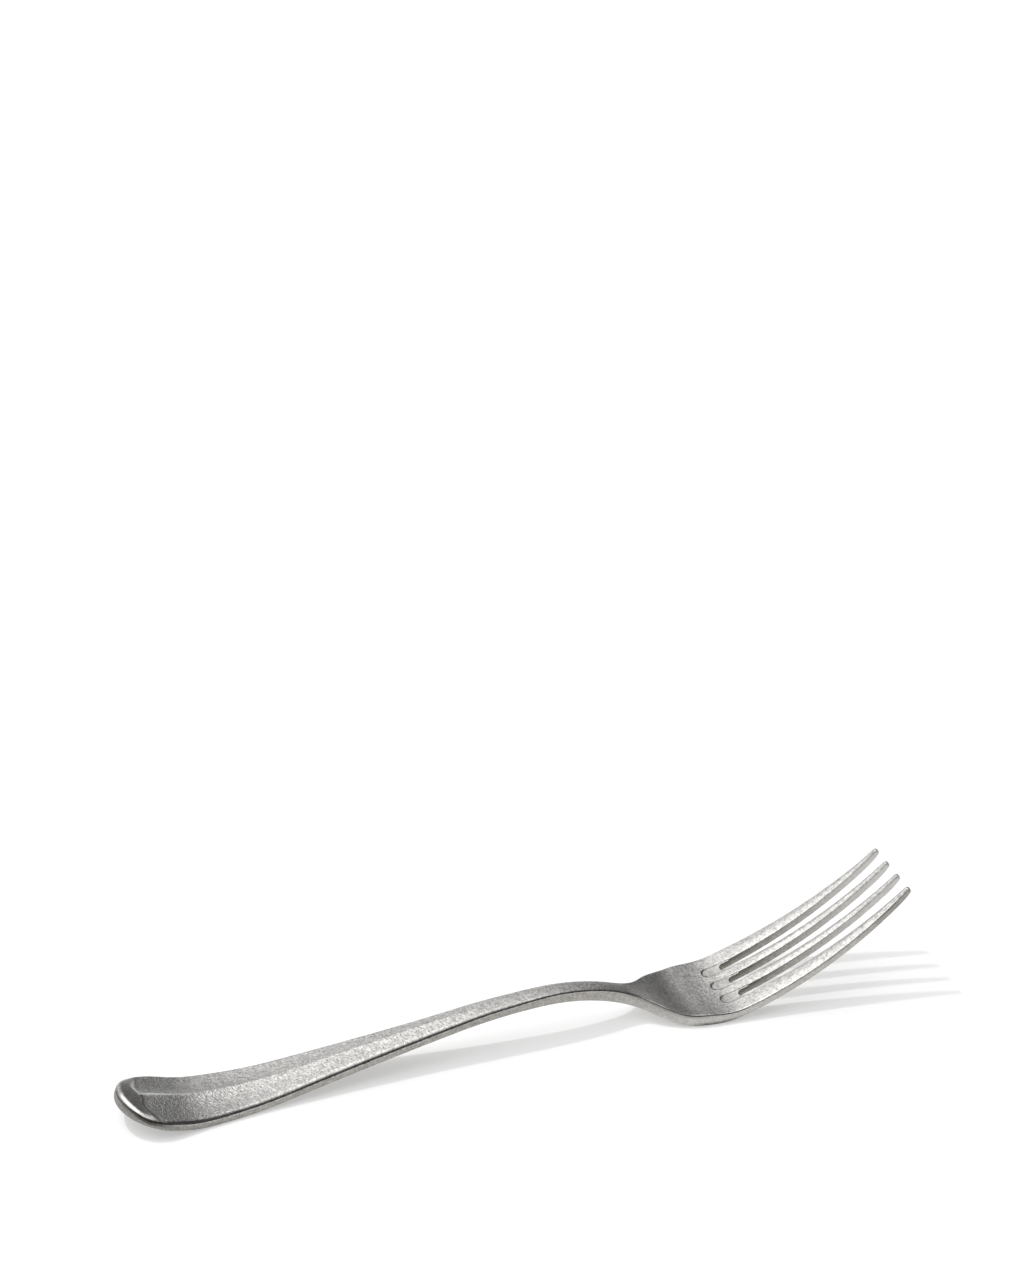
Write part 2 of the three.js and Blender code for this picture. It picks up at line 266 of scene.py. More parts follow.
# The straight behind the heel is as long as it takes to bring the heel down to the handle's level.
CLIMB = (RISE_RADIUS + CREST_RADIUS) * (1 - np.cos(RISE)) + HANDLE_STRAIGHT * np.sin(RISE)
BENT_DROP = (DROP_RADIUS + HEEL_RADIUS) * (1 - np.cos(DROP))
NECK_STRAIGHT = (CLIMB - BENT_DROP) / np.sin(DROP)

# Length of each stretch of the back, and the angle that it turns upwards
STRETCHES = {
    "end curl": (END_CURL_LENGTH, CURL),
    "end": (END_STRAIGHT, 0),
    "end bend": (END_BEND_RADIUS * LIFT, LIFT),
    "handle rest": (HANDLE_REST_LENGTH, 0),
    "rise": (RISE_RADIUS * RISE, RISE),
    "handle": (HANDLE_STRAIGHT, 0),
    "crest": (CREST_RADIUS * RISE, -RISE),
    "drop": (DROP_RADIUS * DROP, -DROP),
    "neck": (NECK_STRAIGHT, 0),
    "heel": (HEEL_RADIUS * DROP, DROP),
    "heel rest": (HEEL_REST_LENGTH, 0),
    "toe": (TOE_RADIUS * TOE, TOE),
    "tines": (TINE_BEND_RADIUS, 1),
}
LENGTHS, TURNS = np.array(list(STRETCHES.values()), float).T
CURVATURES = TURNS / LENGTHS
BEGINS = running_total(LENGTHS)
SLOPES = running_total(TURNS) - LIFT - CURL
BEGIN_OF = dict(zip(STRETCHES, BEGINS))


def chord(slope, curvature, distance):
    """The chord of an arc, as its run and its rise.

    It leaves at the starting slope plus half the arc's turn h, and is sin(h) / h of the arc's length,
    so a straight needs no case of its own.
    """
    half_turn = curvature * distance / 2
    reach = distance * np.sinc(half_turn / np.pi)
    return reach * np.cos(slope + half_turn), reach * np.sin(slope + half_turn)


RUNS, RISES = chord(SLOPES, CURVATURES, LENGTHS)
START_X = running_total(RUNS)
HEIGHTS = running_total(RISES)
# The handle's rest lies at height 0
START_Z = HEIGHTS - HEIGHTS[list(STRETCHES).index("handle rest")]


def bend(blank):
    """Bends points of the blank into the fork.

    A point goes to the place on the back at its distance along, and from there by its height
    square to the back's slope.
    """
    along, across, up = np.moveaxis(blank, -1, 0)
    stretch = np.clip(np.searchsorted(BEGINS, along, side="right") - 1, 0, len(BEGINS) - 1)
    distance = along - BEGINS[stretch]
    run, rise = chord(SLOPES[stretch], CURVATURES[stretch], distance)
    slope = SLOPES[stretch] + CURVATURES[stretch] * distance
    x = START_X[stretch] + run - up * np.sin(slope)
    z = START_Z[stretch] + rise + up * np.cos(slope)
    return np.stack([x, across, z], axis=-1)


# Places along the back
NECK_BEGIN = BEGIN_OF["drop"] - NECK_BEFORE_CREST
NECK_END = BEGIN_OF["neck"]
HEEL_REST_BEGIN = BEGIN_OF["heel rest"]
ROOT = BEGIN_OF["toe"] + ROOT_FROM_HEEL_REST
TIP = ROOT + TINE_LENGTH
SLOT_RADIUS = SLOT_WIDTH / 2
SLOT_ARC_CENTRE = ROOT + SLOT_RADIUS
TIP_RADIUS = TIP_WIDTH / 2
TIP_BEGIN = TIP - TIP_RADIUS
# The bowl ends where the rounded edge of the slots' ends begins
BOWL_END = ROOT - TINE_EDGE_RADIUS
SLOT_CENTRES = (np.arange(TINE_COUNT - 1) - (TINE_COUNT - 2) / 2) * SLOT_PITCH

# Where the bowl's smoother finish begins and ends
SATIN_BEGINS = NECK_END + np.array(BOWL_SATIN_BEGINS)
SATIN_ENDS = ROOT + np.array(BOWL_SATIN_ENDS)

# Outline of the blank: half its width against the distance along it
END_HALF = END_WIDTH / 2
NECK_START_HALF = NECK_START_WIDTH / 2
NECK_HALF = NECK_WIDTH / 2
BOWL_HALF = BOWL_WIDTH / 2


def bezier(*corners):
    """Points of a cubic Bezier curve at even steps of its parameter."""
    share = np.linspace(0, 1, OUTLINE_SAMPLES)[:, None]
    first, second, third, fourth = np.array(corners, float)
    return (
        first * (1 - share) ** 3
        + second * 3 * share * (1 - share) ** 2
        + third * 3 * share**2 * (1 - share)
        + fourth * share**3
    )


TAPER = bezier(
    (END_LENGTH, END_HALF),
    (END_LENGTH + END_EASE, END_HALF),
    (NECK_BEGIN - TAPER_EASE, NECK_START_HALF + TAPER_EASE * NECK_TAPER),
    (NECK_BEGIN, NECK_START_HALF),
)
NECK_SIDES = bezier(
    (NECK_BEGIN, NECK_START_HALF),
    (NECK_BEGIN + NECK_TAPER_EASE, NECK_START_HALF - NECK_TAPER_EASE * NECK_TAPER),
    (NECK_END - NECK_SLIM_EASE, NECK_HALF),
    (NECK_END, NECK_HALF),
)
SHOULDERS = bezier(
    (NECK_END, NECK_HALF),
    (NECK_END + NECK_FLARE_EASE, NECK_HALF),
    (ROOT - SHOULDER_EASE, BOWL_HALF),
    (ROOT, BOWL_HALF),
)
OUTLINE = np.concatenate([TAPER, NECK_SIDES[1:], SHOULDERS[1:]])


def half_width(along):
    """Half the blank's width: a quarter of an ellipse at the handle's end, then the three curves."""
    end_share = np.clip(1 - along / END_LENGTH, 0, 1)
    return np.where(
        along < END_LENGTH,
        END_HALF * np.sqrt(1 - end_share**2),
        np.interp(along, OUTLINE[:, 0], OUTLINE[:, 1]),
    )


def edge_thickness(along):
    """Thickness at the edges: thicker in the neck, thinner at the roots, then evenly to the tips."""
    neck = lerp(HANDLE_EDGE, NECK_EDGE, smoothstep(along, NECK_BEGIN, NECK_END))
    blade = lerp(neck, ROOT_EDGE, smoothstep(along, HEEL_REST_BEGIN, ROOT))
    tine = lerp(ROOT_EDGE, TIP_EDGE, (along - ROOT) / TINE_LENGTH)
    return np.where(along > ROOT, tine, blade)


def flute_edge(q):
    """Where the flutes begin, a share q of the way from the middle to the edge.

    It bows towards the end by a sine, and reaches away from the end at the edges as q^2.
    """
    return FLUTE_START - FLUTE_BOW * np.sin(np.pi * q) + FLUTE_REACH * q**2


def crown(along, across):
    """Height of the top above its edges.

    With q from 0 in the middle to 1 at the edge, it is the ridge's height times 1 - f q^2 on the pad,
    where f rises from 0 at the end to 1 at the flutes, and times (1 - q)^n in the flutes, where q is
    blunted at the crest and n falls from 4.5 at the pad to 2. The neck's low crown is added and the
    bowl's hollow taken off, both times 1 - q^2.
    """
    half = np.maximum(half_width(along), RIDGE_BLUNT)
    blunt = RIDGE_BLUNT / half
    q = np.clip(np.abs(across) / half, 0, 1)
    crest = (np.sqrt(q**2 + blunt**2) - blunt) / (np.sqrt(1 + blunt**2) - blunt)
    rounded = 1 - q**2
    padded = 1 - smoothstep(along, 0, FLUTE_START) * q**2
    settled = smoothstep(along, *RIDGE_SETTLES)
    fluted = (1 - crest) ** lerp(*FLUTE_POWERS, settled)
    past_pad = along - flute_edge(q)
    in_flute = smoothstep(past_pad, -FLUTE_RAMP / 2, FLUTE_RAMP / 2)
    fade = smoothstep(along, NECK_BEGIN - RIDGE_FADE, NECK_BEGIN)
    ridge = lerp(RIDGE_AT_END, RIDGE_ALONG, settled) * (1 - fade)
    deepening = smoothstep(along, NECK_END, NECK_END + HOLLOW_EASE)
    neck = NECK_CROWN * fade * (1 - deepening)
    hollow = BOWL_HOLLOW * deepening * (1 - smoothstep(along, HEEL_REST_BEGIN, ROOT))
    return ridge * lerp(padded, fluted, in_flute) + (neck - hollow) * rounded


def outside_recess(along, across):
    """Distance outwards from the sides of the coined recesses, which are oblongs with a round end."""
    radius = RECESS_WIDTH / 2
    short_of_round = np.maximum(ROOT - RECESS_LENGTH + radius - along, 0)
    from_centre = np.abs(across[..., None] - SLOT_CENTRES).min(axis=-1)
    return np.hypot(short_of_round, from_centre) - radius


def recess(along, across):
    """Depth of the coined recesses: full inside, falling to 0 over their walls and their far end."""
    inside = 1 - smoothstep(outside_recess(along, across), -RECESS_WALL / 2, RECESS_WALL / 2)
    last = ROOT + RECESS_PAST_ROOT
    return RECESS_DEPTH * inside * (1 - smoothstep(along, last - RECESS_END_WALL, last))


def tip_rounding(along):
    """Goes from 0 to 1 over the rounded tip as a quarter circle does."""
    return 1 - np.sqrt(1 - np.clip((along - TIP_BEGIN) / TIP_RADIUS, 0, 1) ** 2)


def top_height(along, across):
    """Height of the top: edge thickness and crown, less the recesses and the fall at the tips."""
    return (
        edge_thickness(along)
        + crown(along, across)
        - recess(along, across)
        - TIP_DROP * tip_rounding(along)
    )


def back_height(along):
    """Height of the back: 0, and lifted before the tips as a quarter of an ellipse lifts."""
    return TIP_LIFT * (1 - np.sqrt(1 - np.clip((along - TIP) / TIP_SWEEP + 1, 0, 1) ** 2))


# Surfaces of the blank

def inward_normals(wall, inward, first=None, last=None):
    """Directions square to a wall's plan, into the metal. first and last give a known direction."""
    tangent = np.gradient(wall, axis=0)
    if first is not None:
        tangent[0] = first
    if last is not None:
        tangent[-1] = last
    tangent /= np.linalg.norm(tangent, axis=1, keepdims=True)
    return inward * np.stack([-tangent[:, 1], tangent[:, 0]], axis=1)


def side(wall, normals, rim, back_rim):
    """One side of the blank for each place on its wall, as points from the top to the back.

    A quarter round from the top to the wall, the wall, and a quarter round from the wall to the
    back. At angle a of a round with radius r the point lies r (1 - sin a) in from the wall and
    r (1 - cos a) away from the face.
    """
    angle = np.linspace(0, np.pi / 2, RIM_STEPS + 1)
    inset = 1 - np.sin(angle)
    drop = 1 - np.cos(angle)
    rim_plan = wall[:, None] + (rim[:, None] * inset)[..., None] * normals[:, None]
    rim_up = top_height(rim_plan[..., 0], rim_plan[..., 1]) - rim[:, None] * drop
    back_plan = wall[:, None] + (back_rim[:, None] * inset[::-1])[..., None] * normals[:, None]
    back_up = back_height(back_plan[..., 0]) + back_rim[:, None] * drop[::-1]
    share = np.linspace(0, 1, WALL_STEPS + 2)[1:-1]
    wall_up = lerp(rim_up[:, -1:], back_up[:, :1], share)
    wall_plan = np.repeat(wall[:, None], WALL_STEPS, axis=1)
    plan = np.concatenate([rim_plan, wall_plan, back_plan], axis=1)
    up = np.concatenate([rim_up, wall_up, back_up], axis=1)
    return np.concatenate([plan, up[..., None]], axis=-1)


def tube(near_side, far_side, top_shares, back_shares, raised=0):
    """A closed surface round the blank between two sides, one loop of points for each row.

    Columns on the top and the back lie at the given shares of the way between the sides. raised
    is added to the height of the top, a value for each row and column.
    """
    top_plan = lerp(near_side[:, :1, :2], far_side[:, :1, :2], top_shares[None, :, None])
    top_up = top_height(top_plan[..., 0], top_plan[..., 1]) + raised
    back_plan = lerp(near_side[:, -1:, :2], far_side[:, -1:, :2], back_shares[None, :, None])
    back_up = back_height(back_plan[..., 0])
    top = np.concatenate([top_plan, top_up[..., None]], axis=-1)
    back = np.concatenate([back_plan, back_up[..., None]], axis=-1)
    return np.concatenate(
        [top, far_side[:, 1:], back[:, -2:0:-1], near_side[:, :0:-1]],
        axis=1,
    )


def even_steps(low, high, step):
    """Even steps of about the given size from low to high, without low itself."""
    count = max(1, round((high - low) / step))
    return np.linspace(low, high, count + 1)[1:]


def rim_radius(along):
    """Rounding of the top's edge: full along the handle, a little less at its end, least in the bowl."""
    handle = lerp(END_RIM_RADIUS, HANDLE_RIM_RADIUS, smoothstep(along, *END_RIM_FADES))
    return lerp(handle, RIM_RADIUS, smoothstep(along, NECK_BEGIN - HANDLE_RIM_FADE, NECK_END))


def back_rim_radius(along):
    """Rounding of the back's edge: fuller round the handle's end."""
    return lerp(END_BACK_RADIUS, BACK_RADIUS, smoothstep(along, *END_BACK_FADES))


# Columns from a slot's middle line to a tine's: close together at the middle and at the recess's wall.
# Places beside the wall are counted in its width
RECESS_FLOOR_END = -1.6
NEAR_RECESS_WALL = np.array([-1.2, -0.6, -0.2, 0.2, 0.6, 1.2])
TINE_TOP_BEGIN = 2
RECESS_SIDE = RECESS_WIDTH / 2
FLOOR_SHARES = np.linspace(0, 1, RECESS_FLOOR_COLUMNS + 1)[:-1] ** RECESS_FLOOR_POWER
SLOT_COLUMNS = np.concatenate([
    FLOOR_SHARES * (RECESS_SIDE + RECESS_FLOOR_END * RECESS_WALL),
    RECESS_SIDE + NEAR_RECESS_WALL * RECESS_WALL,
    np.linspace(RECESS_SIDE + TINE_TOP_BEGIN * RECESS_WALL, SLOT_PITCH / 2, TINE_TOP_COLUMNS),
])
INNER_COLUMNS = np.concatenate([SLOT_COLUMNS, SLOT_PITCH - SLOT_COLUMNS[-2::-1]])
OUTER_REACH = BOWL_HALF - RIM_RADIUS - SLOT_CENTRES[-1]
OUTER_COLUMNS = np.concatenate([
    SLOT_COLUMNS,
    even_steps(SLOT_PITCH / 2, OUTER_REACH, OUTER_COLUMN_STEP),
])
INNER_SHARES = INNER_COLUMNS / SLOT_PITCH
OUTER_SHARES = OUTER_COLUMNS / OUTER_REACH
# The first tine has its slot on the far side, the last one on the near side
TINE_SHARES = [1 - OUTER_SHARES[::-1], INNER_SHARES, INNER_SHARES, OUTER_SHARES]
BACK_SHARES = np.linspace(0, 1, BACK_COLUMNS + 1)


def whole_shares(strip_shares, edge):
    """Shares across the whole bowl of the columns that the four tines have side by side."""
    stops = np.concatenate([[-edge], SLOT_CENTRES, [edge]])
    columns = [lerp(low, high, shares) for low, high, shares in zip(stops, stops[1:], strip_shares)]
    joined = np.concatenate([columns[0]] + [each[1:] for each in columns[1:]])
    return (joined + edge) / (2 * edge)


BLADE_TOP_SHARES = whole_shares(TINE_SHARES, BOWL_HALF - RIM_RADIUS)
BLADE_BACK_SHARES = whole_shares([BACK_SHARES] * TINE_COUNT, BOWL_HALF - BACK_RADIUS)

# Rows of the blade, zone by zone
END_ALONG = END_LENGTH * (1 - np.cos(np.linspace(0, np.pi / 2, END_ROWS + 1)))
HANDLE_ALONG = even_steps(END_LENGTH, NECK_BEGIN, HANDLE_STEP)
NECK_ALONG = even_steps(NECK_BEGIN, NECK_END, NECK_STEP)
RECESS_BEGIN = ROOT - RECESS_LENGTH - FINE_ROWS_BEFORE_RECESS * RECESS_STEP
BOWL_ALONG = np.concatenate([
    even_steps(NECK_END, RECESS_BEGIN, BOWL_STEP),
    even_steps(RECESS_BEGIN, BOWL_END, RECESS_STEP),
])
BLADE_ZONES = {
    "handle_end": END_ALONG,
    "handle": HANDLE_ALONG,
    "neck": NECK_ALONG,
    "bowl": BOWL_ALONG,
}


def blade():
    """The handle end, handle, neck and bowl as one tube, row by row."""
    along = np.concatenate(list(BLADE_ZONES.values()))
    half = half_width(along)
    rim = rim_radius(along)
    back_rim = back_rim_radius(along)
    sides = []
    for inward in (1, -1):
        wall = np.stack([along, -inward * half], axis=1)
        normals = inward_normals(wall, inward, first=(0, -inward), last=(1, 0))
        sides.append(side(wall, normals, rim, back_rim))
    return tube(*sides, BLADE_TOP_SHARES, BLADE_BACK_SHARES)


def tine(index):
    """One tine as a tube, from the bowl's end to its rounded tip.

    Next to a slot its wall follows the slot's round end and then runs straight to the tip. The
    outer wall of an outer tine bows in by a power of the way to the tip. The tip is half a circle,
    where the roundings of both sides and the low crown's end come to the same points, so it closes.
    """
    arc = np.linspace(0, np.pi / 2, ROOT_ARC_ROWS + 1)
    recess_last = ROOT + RECESS_PAST_ROOT + RECESS_END_WALL
    straight = np.concatenate([
        even_steps(SLOT_ARC_CENTRE, recess_last, RECESS_STEP),
        even_steps(recess_last, TIP_BEGIN, TINE_STEP),
    ])
    tip_turn = np.linspace(0, np.pi / 2, TIP_ROWS + 1)[1:]
    tip_along = TIP_BEGIN + TIP_RADIUS * np.sin(tip_turn)
    reach = (straight - SLOT_ARC_CENTRE) / (TIP_BEGIN - SLOT_ARC_CENTRE)
    tip_centre = (index - (TINE_COUNT - 1) / 2) * TIP_PITCH
    sides = []
    for inward, slot in ((1, index - 1), (-1, index)):
        at_tip = tip_centre - inward * TIP_RADIUS
        tip_across = tip_centre - inward * TIP_RADIUS * np.cos(tip_turn)
        outer = not 0 <= slot < TINE_COUNT - 1
        if outer:
            arc_along = SLOT_ARC_CENTRE - (SLOT_RADIUS + TINE_EDGE_RADIUS) * np.cos(arc)
            arc_across = -inward * half_width(arc_along)
            straight_across = lerp(-inward * BOWL_HALF, at_tip, reach**OUTER_SIDE_POWER)
            first = (1, 0)
            radii = (RIM_RADIUS, BACK_RADIUS)
        else:
            arc_along = SLOT_ARC_CENTRE - SLOT_RADIUS * np.cos(arc)
            arc_across = SLOT_CENTRES[slot] + inward * SLOT_RADIUS * np.sin(arc)
            straight_across = lerp(SLOT_CENTRES[slot] + inward * SLOT_RADIUS, at_tip, reach)
            first = (0, inward)
            radii = (TINE_EDGE_RADIUS, TINE_EDGE_RADIUS)
        along = np.concatenate([arc_along, straight, tip_along])
        across = np.concatenate([arc_across, straight_across, tip_across])
        thickness = edge_thickness(along) - TIP_DROP * tip_rounding(along) - back_height(along)
        near_tip = smoothstep(along, TIP - TIP_SWEEP, TIP_BEGIN)
        rim, back_rim = [
            np.minimum(lerp(radius, TINE_EDGE_RADIUS, near_tip), ROUNDING_SHARE * thickness)
            for radius in radii
        ]
        wall = np.stack([along, across], axis=1)
        normals = inward_normals(wall, inward, first=first, last=(0, inward))
        sides.append(side(wall, normals, rim, back_rim))
    shares = TINE_SHARES[index]
    middle = np.concatenate([np.full_like(arc, SLOT_ARC_CENTRE), straight, tip_along])
    rising = TINE_CROWN * smoothstep(middle, SLOT_ARC_CENTRE, SLOT_ARC_CENTRE + TINE_CROWN_EASE)
    rising *= 1 - tip_rounding(middle)
    raised = rising[:, None] * (1 - (2 * shares - 1) ** 2)[None]
    return tube(*sides, shares, BACK_SHARES, raised)


def finish_masks(blank):
    """Where the finish differs, as a value from 0 to 1 for each point of the blank.

    edge is the blanked sides and rim the rounding above them, both by the depth below the top's face
    over the rounding's radius. satin is the smoother face of the pad and, less, of the bowl and the
    tines. The painted highlights are a line on the ridge's crest and on the +Y half of the pad's
    brink, which falls off as exp(-x^2) with the distance x over its width, and painted reflection that
    lightens the outer sides of the bowl and the tines and rises in the slots to the tips. The painted
    rim highlight lies on the -Y half of the rim at the handle's end. The painted dark lines are dark
    reflection at the foot of the rounding, round the end and the shoulders, and painted shadow low on
    the sides of the heel. The painted shade in hollows lies in the slots, where it fades along the
    tines and to the back, and in the recesses, most at their sides. The painted shade darkens the
    handle's end, the bowl and its rim, and the tips.
    """
    along, across, up = np.moveaxis(blank, -1, 0)
    from_root = along - ROOT
    depth = top_height(along, across) - up
    radius = np.where(along < BOWL_END, rim_radius(along), TINE_EDGE_RADIUS)
    edge = smoothstep(depth / radius, *EDGE_RISES)
    rim = smoothstep(depth / radius, *RIM_RISES) * (1 - edge)
    foot = between(depth / radius, FOOT_RISES, FOOT_FADES)
    q = np.clip(np.abs(across) / np.maximum(half_width(along), RIDGE_BLUNT), 0, 1)
    past_pad = along - flute_edge(q)
    past_tine = np.abs(across) - TIP_PITCH * (TINE_COUNT - 1) / 2
    in_slots = 1 - smoothstep(past_tine, -OUTER_SIDE_BLEND, OUTER_SIDE_BLEND)
    in_slots = in_slots * smoothstep(from_root, -SLOT_RADIUS, 0)

    pad = 1 - smoothstep(along, FLUTE_START - FLUTE_BOW, FLUTE_START + FLUTE_RAMP)
    bowl = between(along, SATIN_BEGINS, SATIN_ENDS)
    tines = smoothstep(along, *SATIN_ENDS)
    satin = np.maximum(np.maximum(pad, BOWL_SATIN * bowl), TINE_SATIN * tines)

    # Painted highlight on the -Y half of the rim at the handle's end
    painted_rim_highlight = rim * smoothstep(-across, *END_HIGHLIGHT_SIDE) * (1 - smoothstep(along, *END_HIGHLIGHT_FADES))
    # Painted dark lines: dark reflection at the foot of the rounding round the end and the shoulders,
    # and painted shadow low on the heel's sides
    round_end = 1 - smoothstep(along, *END_LINE_FADES)
    shoulders = between(from_root, BOWL_LINE_BEGINS, BOWL_LINE_ENDS)
    heel = between(from_root, HEEL_LINE_BEGINS, HEEL_LINE_ENDS)
    heel = heel * smoothstep(q, *HEEL_LINE_SIDE) * (1 - smoothstep(up, *HEEL_LINE_HEIGHTS))
    painted_shade_lines = np.maximum(foot * (END_LINE * round_end + BOWL_LINE * shoulders), HEEL_LINE * heel)

    # Painted highlights on the ridge's crest and the +Y half of the pad's brink
    ridge = smoothstep(past_pad, -FLUTE_RAMP, 0) * (1 - smoothstep(along, *CREST_FADES))
    crest = ridge * bell(across, HIGHLIGHT_LINE_WIDTH)
    brink = bell(past_pad + FLUTE_RAMP / 2, HIGHLIGHT_LINE_WIDTH) * (1 - smoothstep(q, *BRINK_HIGHLIGHT_ENDS))
    brink = brink * smoothstep(across, *BRINK_HIGHLIGHT_SIDE)
    lines = np.maximum(crest, brink) * (1 - rim) * (1 - edge)
    # Painted reflection that lightens the slots' sides towards the tips and the outer sides of the bowl
    # and the tines
    tips = TIP_REFLECTION * edge * in_slots * smoothstep(along, ROOT + TIP_REFLECTION_BEGINS, TIP)
    sides = lerp(BOWL_SIDE_REFLECTION, TINE_SIDE_REFLECTION, smoothstep(from_root, *SIDE_REFLECTION_SETTLES))
    sides = sides * smoothstep(from_root, *SIDE_REFLECTION_RISES)
    sides = sides * (1 - smoothstep(along - TIP, *SIDE_REFLECTION_ENDS))
    sides = sides * edge * (1 - in_slots) * (1 - heel)

    # Painted shade in the slots, lighter lower down, and in the recesses, most at their sides
    slots = edge * in_slots * (1 - smoothstep(from_root, *SLOT_SHADE_FADES))
    slots = slots * lerp(1, DEEP_SLOT_SHADE, smoothstep(depth, *SLOT_SHADE_DEPTHS))
    recess_sides = bell(outside_recess(along, across), RECESS_LINE)
    recess_floor = recess(along, across) / RECESS_DEPTH
    recesses = RECESS_SIDE_SHADE * recess_sides + RECESS_FLOOR_SHADE * recess_floor
    recesses = recesses * (1 - edge) * (1 - smoothstep(from_root, 0, RECESS_SHADE_ENDS))

    # Painted shade that darkens the handle's end, the bowl, its rim and the tips
    painted_shade = END_SHADE * (1 - smoothstep(along, *END_SHADE_FADES))
    painted_shade = painted_shade + BOWL_SHADE * bowl * (1 - edge) + BOWL_RIM_SHADE * rim * shoulders
    painted_shade = painted_shade + TIP_SHADE * smoothstep(along, ROOT, TIP)
    return {
        "edge": edge,
        "rim": rim,
        "satin": satin,
        "painted_highlights": np.maximum(np.maximum(lines, tips), sides),
        "painted_rim_highlight": painted_rim_highlight,
        "painted_shade_lines": painted_shade_lines,
        "painted_hollow_shade": np.maximum(slots, recesses),
        "painted_shade": painted_shade,
    }


# Meshes

HEEL_REST = next(mount for mount in frame["record"]["mounts"] if mount["name"] == "heel_rest")
HEEL_REST_MIDDLE = bend(np.array([HEEL_REST_BEGIN + HEEL_REST_LENGTH / 2, 0, 0]))
TO_FRAME = np.array([HEEL_REST["pos_m"][0] / MM - HEEL_REST_MIDDLE[0], 0, 0])


def steel_piece(name, node, rows, material, cap_first, cap_last):
    """A closed mesh from a tube's rows, with the loops at its two ends filled where asked.

    Each face joins two neighbouring points of a row with the same two of the next row. Ends that
    close by themselves are welded. The filled ends, the only faces with more than four corners, are
    flat and end in sharp edges.
    """
    count, around = rows.shape[:2]
    points = (bend(rows.reshape(-1, 3)) + TO_FRAME) * MM
    index = np.arange(count * around).reshape(count, around)
    onward = np.roll(index, -1, axis=1)
    quads = np.stack([index[:-1], index[1:], onward[1:], onward[:-1]], axis=-1).reshape(-1, 4)
    faces = quads.tolist()
    if cap_first:
        faces.append(index[0].tolist())
    if cap_last:
        faces.append(index[-1, ::-1].tolist())
    mesh = bpy.data.meshes.new(name)
    mesh.from_pydata(points.tolist(), [], faces)
    for mask, values in finish_masks(rows.reshape(-1, 3)).items():
        mesh.attributes.new(mask, "FLOAT", "POINT").data.foreach_set("value", values)
    shell = bmesh.new()
    shell.from_mesh(mesh)
    bmesh.ops.remove_doubles(shell, verts=shell.verts, dist=WELD_DISTANCE)
    caps = [face for face in shell.faces if len(face.verts) > 4]
    for face in shell.faces:
        face.smooth = True
    for cap in caps:
        cap.smooth = False
        for edge in cap.edges:
            edge.smooth = False
    bmesh.ops.triangulate(shell, faces=caps, ngon_method="BEAUTY")
    shell.to_mesh(mesh)
    shell.free()
    mesh.materials.append(material)
    piece = bpy.data.objects.new(name, mesh)
    bpy.context.collection.objects.link(piece)
    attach(piece, "root")
    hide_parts(node)


# Materials

def add_node(tree, kind, **inputs):
    """A node with plain values on its named inputs."""
    node = tree.nodes.new(kind)
    for socket, value in inputs.items():
        node.inputs[socket.replace("_", " ")].default_value = value
    return node


def noise(tree, coordinates, scale, detail, roughness, distortion):
    """Noise with features about 1 / scale metres across."""
    node = add_node(
        tree,
        "ShaderNodeTexNoise",
        Scale=scale,
        Detail=detail,
        Roughness=roughness,
        Distortion=distortion,
    )
    tree.links.new(coordinates, node.inputs["Vector"])
    return node.outputs["Fac"]


def attribute(tree, name):
    """A value stored on the mesh's points."""
    node = tree.nodes.new("ShaderNodeAttribute")
    node.attribute_name = name
    return node.outputs["Fac"]


def remap(tree, value, low, high, to_low, to_high):
    """Carries the range low to high over to another range, and stops at its ends."""
    node = add_node(
        tree,
        "ShaderNodeMapRange",
        From_Min=low,
        From_Max=high,
        To_Min=to_low,
        To_Max=to_high,
    )
    tree.links.new(value, node.inputs["Value"])
    return node.outputs["Result"]


def calculate(tree, operation, first, second):
    """A sum, product or comparison of two values, either of which may be a number."""
    node = tree.nodes.new("ShaderNodeMath")
    node.operation = operation
    for socket, value in zip(node.inputs, (first, second)):
        if isinstance(value, bpy.types.NodeSocket):
            tree.links.new(value, socket)
        else:
            socket.default_value = value
    return node.outputs["Value"]


def mix(tree, kind, share, first, second):
    """A colour (kind RGBA) or number (kind FLOAT) a share of the way from the first to the second."""
    node = tree.nodes.new("ShaderNodeMix")
    node.data_type = kind
    socket_type = "VALUE" if kind == "FLOAT" else kind
    tree.links.new(share, node.inputs["Factor"])
    for name, value in zip(("A", "B"), (first, second)):
        target = next(each for each in node.inputs if each.name == name and each.type == socket_type)
        if isinstance(value, bpy.types.NodeSocket):
            tree.links.new(value, target)
        elif kind == "RGBA":
            target.default_value = (*value, 1)
        else:
            target.default_value = value
    return next(each for each in node.outputs if each.type == socket_type)


# Colours of the steel: the dark and light parts of the grain, flecks and painted highlights, the dark
# and light parts of the blanked edges, painted shade in hollows, painted shade, the painted highlight
# on the rim and painted dark lines
DARK_GRAIN = (0.37, 0.364, 0.354)
LIGHT_GRAIN = (0.73, 0.722, 0.706)
FLECKS_AND_HIGHLIGHTS = (0.88, 0.875, 0.86)
DARK_EDGE = (0.33, 0.319, 0.295)
LIGHT_EDGE = (0.56, 0.543, 0.507)
HOLLOW_SHADE = (0.25, 0.238, 0.215)
SHADE = (0.12, 0.118, 0.116)
PAINTED_RIM_HIGHLIGHT = (0.7, 0.695, 0.68)
PAINTED_SHADE_LINE = (0.05, 0.047, 0.043)

# Roughness by finish
FACE_ROUGHNESS = 0.38
SATIN_ROUGHNESS = 0.33
RIM_ROUGHNESS = 0.2
EDGE_ROUGHNESS = 0.5
HIGHLIGHT_ROUGHNESS = 0.6
# How far the face's roughness varies to either side, and the range of the mottle over which it falls
ROUGHNESS_SWING = 0.03
MOTTLE_RANGE = (0.3, 0.7)

